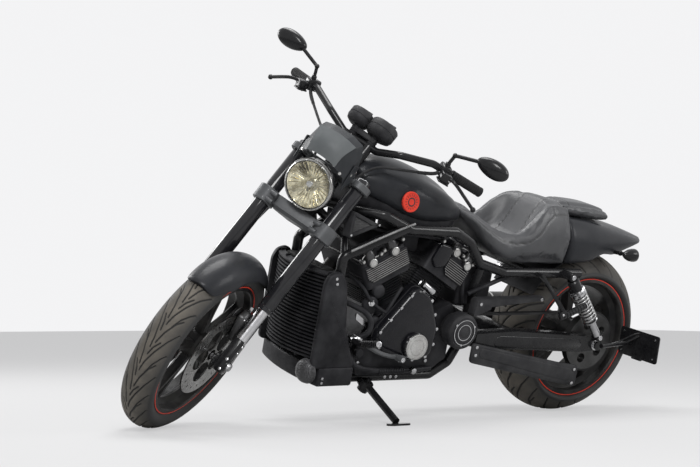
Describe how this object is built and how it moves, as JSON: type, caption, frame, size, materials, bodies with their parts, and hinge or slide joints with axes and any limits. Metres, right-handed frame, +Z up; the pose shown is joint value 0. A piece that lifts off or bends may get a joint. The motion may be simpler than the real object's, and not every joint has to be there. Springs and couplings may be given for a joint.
{
  "type": "cruiser motorcycle",
  "caption": "Low cruiser motorcycle with a V-twin engine, raked fork, belt drive and stepped seat, parked leaning on its side stand with the steering turned left.",
  "frame": {"origin": "bottom centre of the bounding box, on the ground", "axes": "+X towards the front wheel, +Y to the rider's left, +Z up; the machine leans to +Y on its stand"},
  "size_m": [2.3043, 0.9045, 1.3867],
  "materials": {
    "frame_paint": "gloss black paint",
    "engine_black": "satin black engine paint",
    "satin_metal": "satin silver",
    "gloss_cover": "gloss black cover",
    "dark_plastic": "moulded dark grey plastic",
    "body_paint": "deep gloss black",
    "badge_red": "red enamel",
    "seat_leather": "black seat cover",
    "lamp_lens": "smoked red lens",
    "steel": "machined steel",
    "spring_steel": "black coil",
    "belt_rubber": "black rubber",
    "plate_face": "blank plate",
    "exhaust_black": "satin black heat-proof coating",
    "caliper_metal": "anodised dark",
    "clamp_metal": "satin grey",
    "fork_black": "gloss black tube",
    "lens_glass": "clear lamp lens",
    "cowl_paint": "matte grey",
    "grip_rubber": "ribbed grip",
    "wheel_paint": "satin black wheel",
    "tyre": "worn tyre",
    "disc_steel": "brake disc",
    "pulley_metal": "dark pulley"
  },
  "bodies": {
    "chassis": {"frame": "frame_paint", "crankcase": "engine_black", "front_cylinder": "engine_black", "rear_cylinder": "engine_black", "engine_trim": "satin_metal", "engine_covers": "gloss_cover", "radiator": "dark_plastic", "radiator_shroud": "dark_plastic", "horn": "dark_plastic", "tank_cover": "body_paint", "tank_badge": "badge_red", "air_scoops": "dark_plastic", "rider_seat": "seat_leather", "pillion_pad": "seat_leather", "tail_section": "body_paint", "rear_lamps": "lamp_lens", "swingarm": "frame_paint", "rear_axle": "steel", "shock_bodies": "steel", "shock_springs": "spring_steel", "drive_belt": "belt_rubber", "belt_guards": "dark_plastic", "plate_holder": "frame_paint", "number_plate": "plate_face", "exhaust": "exhaust_black", "foot_controls": "satin_metal", "rear_caliper": "caliper_metal"},
    "steering": {"fork_clamps": "clamp_metal", "fork_tubes": "fork_black", "fork_lowers": "steel", "front_axle": "steel", "front_fender": "body_paint", "headlight_shell": "frame_paint", "headlight_lens": "lens_glass", "headlight_cowl": "cowl_paint", "instruments": "dark_plastic", "handlebar": "frame_paint", "grips": "grip_rubber", "hand_controls": "frame_paint", "mirrors": "frame_paint", "front_calipers": "caliper_metal", "cables": "belt_rubber"},
    "front_wheel_set": {"front_wheel": "wheel_paint", "front_tyre": "tyre", "front_discs": "disc_steel"},
    "rear_wheel_set": {"rear_wheel": "wheel_paint", "rear_tyre": "tyre", "rear_disc": "disc_steel", "rear_pulley": "pulley_metal"},
    "stand": {"side_stand": "frame_paint"}
  },
  "joints": [
    {"name": "steering_turn", "type": "hinge", "parent": "chassis", "child": "steering", "pos_m": [0.50318, -0.01924, 0.6895], "axis": [-0.5538, 0.2435, 0.7963], "range_deg": [-72, 0]},
    {"name": "front_wheel_spin", "type": "hinge", "parent": "steering", "child": "front_wheel_set", "pos_m": [0.86087, -0.0902, 0.28203], "axis": [-0.4894, 0.6785, -0.5478], "continuous": true},
    {"name": "rear_wheel_spin", "type": "hinge", "parent": "chassis", "child": "rear_wheel_set", "pos_m": [-0.82722, -0.13328, 0.31648], "axis": [0, 0.9563, -0.2924], "continuous": true},
    {"name": "side_stand_fold", "type": "hinge", "parent": "chassis", "child": "stand", "pos_m": [0.20182, -0.03744, 0.13061], "axis": [-0.1947, 0.6287, 0.7529], "range_deg": [0, 70]}
  ]
}
